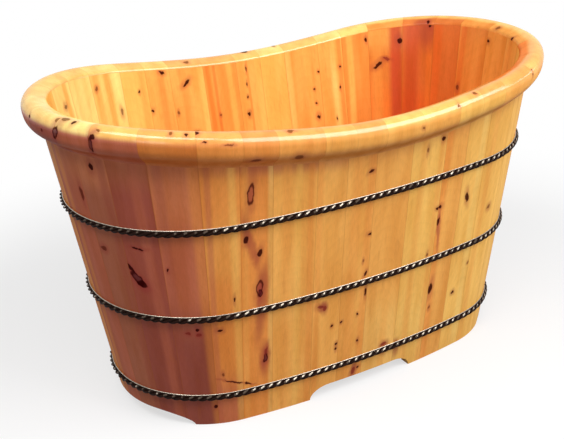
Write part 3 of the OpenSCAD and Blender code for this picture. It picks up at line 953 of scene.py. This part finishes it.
# From here, over the next distance, the pale patches grow from the head end's to the front's; fewer
# at the head end is painted shade
LIT_FROM, LIT_OVER = -0.42, 0.14
# A strand is pale, bright or dull, partly as wear and partly as painted highlight, where it stands
# out by so much, which is less by so much at the front, and faces outward by so much
BRIGHT, DULL = (1.04, 0.09, 0.8), (0.96, 0.2, 0.7)


def hoop_path(z):
    """Function from a distance along the hoop to (x, y, outward angle), and its whole length."""
    radii = [RADII[g] + LEAN * z + HOOP_D / 2 - HOOP_SEAT for g in range(4)]
    lengths = [2 * HALVES[g] * radii[g] for g in range(4)]

    def at(s):
        g = 0
        while g < 3 and s > lengths[g]:
            s -= lengths[g]
            g += 1
        angle = g * math.pi / 2 - HALVES[g] + s / radii[g]
        return (*on_arc(g, radii[g], angle), angle)

    return at, sum(lengths)


def tube(centres, frames, radius, sides):
    """Closed tube along centres, whose frames are pairs of unit vectors across it."""
    verts, faces = [], []
    rings = len(centres)
    for c, (out, up) in zip(centres, frames):
        for q in range(sides):
            w = 2 * math.pi * q / sides
            verts.append(c + radius * (math.cos(w) * out + math.sin(w) * up))
    for k in range(rings):
        for q in range(sides):
            a, b = k * sides, (k + 1) % rings * sides
            q2 = (q + 1) % sides
            faces.append((a + q, b + q, b + q2, a + q2))
    return verts, faces


def crest_look_of(crest, around, front):
    """0 for black, 1 for a dull pale patch and 2 for a bright one, each partly wear and partly
    painted highlight.
    """
    for level, (least, less, facing) in ((2, BRIGHT), (1, DULL)):
        if crest > least - less * front and around > facing:
            return level
    return 0


def make_hoop(name, z):
    at, length = hoop_path(z)
    turns = round(length / TURN)
    rings = turns * TURN_RINGS
    up = Vector((0, 0, 1))
    spots, frames = [], []
    for k in range(rings):
        x, y, a = at(length * k / rings)
        spots.append(Vector((x, y, z)))
        frames.append((Vector((math.cos(a), math.sin(a), 0)), up))
    rnd = random.Random(name)
    verts, faces, crest_looks = [], [], []
    for s in range(STRANDS):
        crest_jitter = [rnd.uniform(-CREST_JITTER, CREST_JITTER) for _ in range(turns + 2)]
        angles = [2 * math.pi * (turns * k / rings + s / STRANDS) for k in range(rings)]
        centres = [
            spot + STRAND_OFF * (math.cos(turn) * out + math.sin(turn) * up)
            for spot, turn, (out, _) in zip(spots, angles, frames)
        ]
        v, f = tube(centres, frames, STRAND_R, SIDES)
        faces += [tuple(i + len(verts) for i in face) for face in f]
        verts += v
        for spot, turn in zip(spots, angles):
            # Fewer and duller pale patches round the head end: painted shade
            front = min(1, max(0, (spot.x - LIT_FROM) / LIT_OVER))
            crest = math.cos(turn - HIGHLIGHT_AT) + crest_jitter[round((turn - HIGHLIGHT_AT) / (2 * math.pi))]
            for q in range(SIDES):
                around = math.cos(2 * math.pi * (q + 0.5) / SIDES - HIGHLIGHT_AT)
                crest_looks.append(crest_look_of(crest, around, front))
    rope = make_piece(name + "_rope", verts, faces, "tub", [name])
    for look in (rope_look, dull_highlight_look, worn_highlight_look):
        rope.data.materials.append(look)
    rope.data.polygons.foreach_set("material_index", crest_looks)
    # Pale wire along the top, partly a painted highlight along the hoop's upper edge
    centres = [spot + WIRE_UP * up for spot in spots[::WIRE_STEP]]
    verts, faces = tube(centres, frames[::WIRE_STEP], WIRE_R, WIRE_SIDES)
    wire = make_piece(name + "_wire", verts, faces, "tub")
    paint(wire, wire_highlight_look)


for name, z in HOOPS.items():
    make_hoop(name, z)


# Stage, light and camera

FLOOR_SIZE, FLOOR_GREY, FLOOR_GLOW = 40, 0.28, 0.65
# Distances from the tub's middle between which the floor turns plain white
WHITE_FROM, WHITE_TO = 0.9, 1.6
SKY_LIGHT, SKY_SEEN = 0.18, 0.82


def seen_rays(t):
    """1 for rays that the camera sees directly, in gloss or through glass, else 0."""
    path = t.add("ShaderNodeLightPath")
    seen = t.math("MAXIMUM", path.outputs["Is Camera Ray"], path.outputs["Is Glossy Ray"])
    return t.math("MAXIMUM", seen, path.outputs["Is Transmission Ray"])


scene = bpy.context.scene
bpy.ops.mesh.primitive_plane_add(size=FLOOR_SIZE, location=(0, 0, 0))
floor = bpy.context.object
floor.name = "studio_floor"
m, t = new_material("studio_white")
seen = seen_rays(t)
spot = t.vmath("MULTIPLY", t.add("ShaderNodeTexCoord").outputs["Object"], (1.0, 1.0, 0.0))
lit = t.add("ShaderNodeBsdfDiffuse", {"Color": (FLOOR_GREY, FLOOR_GREY, FLOOR_GREY, 1)})
glow = t.add("ShaderNodeEmission", {"Strength": t.math("MULTIPLY", seen, FLOOR_GLOW)})
near = t.add("ShaderNodeAddShader", {0: lit.outputs[0], 1: glow.outputs[0]})
blank = t.add("ShaderNodeEmission", {"Strength": 1.0})
away = t.math("MULTIPLY", t.ramp(t.length(spot), WHITE_FROM, WHITE_TO), seen)
cover = t.add("ShaderNodeMixShader", {0: away, 1: near.outputs[0], 2: blank.outputs[0]})
t.link(cover.outputs[0], t.add("ShaderNodeOutputMaterial").inputs[0])
paint(floor, m)

world = bpy.data.worlds.new("studio")
scene.world = world
world.use_nodes = True
world.node_tree.nodes.clear()
t = Tree(world.node_tree)
strength = t.math("ADD", t.math("MULTIPLY", seen_rays(t), SKY_SEEN), SKY_LIGHT)
sky = t.add("ShaderNodeBackground", {"Color": (1, 1, 1, 1), "Strength": strength})
t.link(sky.outputs[0], t.add("ShaderNodeOutputWorld").inputs[0])


def placed(place, right, up, back):
    """Matrix of an object at place, whose own X, Y and Z run right, up and back."""
    return Matrix.Translation(place) @ Matrix((right, up, back)).transposed().to_4x4()


def area_light(name, place, target, size, power, lie):
    """A rectangle of light facing target, its long side along the world direction lie."""
    data = bpy.data.lights.new(name, "AREA")
    data.shape, data.size, data.size_y = "RECTANGLE", size[0], size[1]
    data.energy = power
    obj = bpy.data.objects.new(name, data)
    back = (Vector(place) - Vector(target)).normalized()
    side = Vector(lie)
    side = (side - side.dot(back) * back).normalized()
    obj.matrix_world = placed(place, side, back.cross(side), back)
    scene.collection.objects.link(obj)


area_light("key", (1.55, -2.38, 2.67), (0, 0, 0.45), (2.6, 1.9), 112, (1, 0.65, 0))
area_light("side", (-1.88, -0.50, 3.23), (0, 0, 0.45), (1.8, 1.2), 48, (-0.26, 0.97, 0))
area_light("bridge", (-0.78, -1.66, 3.33), (-0.2, -0.15, 0.5), (2.0, 0.9), 40, (0.91, -0.41, 0))
area_light("edge", (3.10, -1.27, 1.43), (0.35, -0.32, 0.66), (2.2, 0.3), 9, (0.83, 1.89, -0.65))
area_light("low", (-2.28, -1.87, 1.13), (-0.35, -0.25, 0.5), (1.0, 1.0), 6, (0.63, -0.77, 0))

scene.view_settings.view_transform = "Standard"

# Fitted to the photograph: the place in metres, turns in radians, focal length in pixels
CAMERA_PLACE = (-1.1044, -1.9022, 1.2639)
YAW, PITCH, ROLL = 0.5045, 0.4037, -0.0527
FOCAL_PX, PHOTO_W, SENSOR = 1026.9, 564, 36
cam_data = bpy.data.cameras.new("camera")
cam = bpy.data.objects.new("camera", cam_data)
scene.collection.objects.link(cam)
scene.camera = cam
cam_data.sensor_fit = "HORIZONTAL"
cam_data.sensor_width = SENSOR
cam_data.lens = SENSOR * FOCAL_PX / PHOTO_W
level = math.cos(PITCH)
forward = Vector((math.sin(YAW) * level, math.cos(YAW) * level, -math.sin(PITCH)))
right = Vector((math.cos(YAW), -math.sin(YAW), 0))
up = right.cross(forward)
right, up = (
    math.cos(ROLL) * right + math.sin(ROLL) * up,
    -math.sin(ROLL) * right + math.cos(ROLL) * up,
)
cam.matrix_world = placed(CAMERA_PLACE, right, up, -forward)
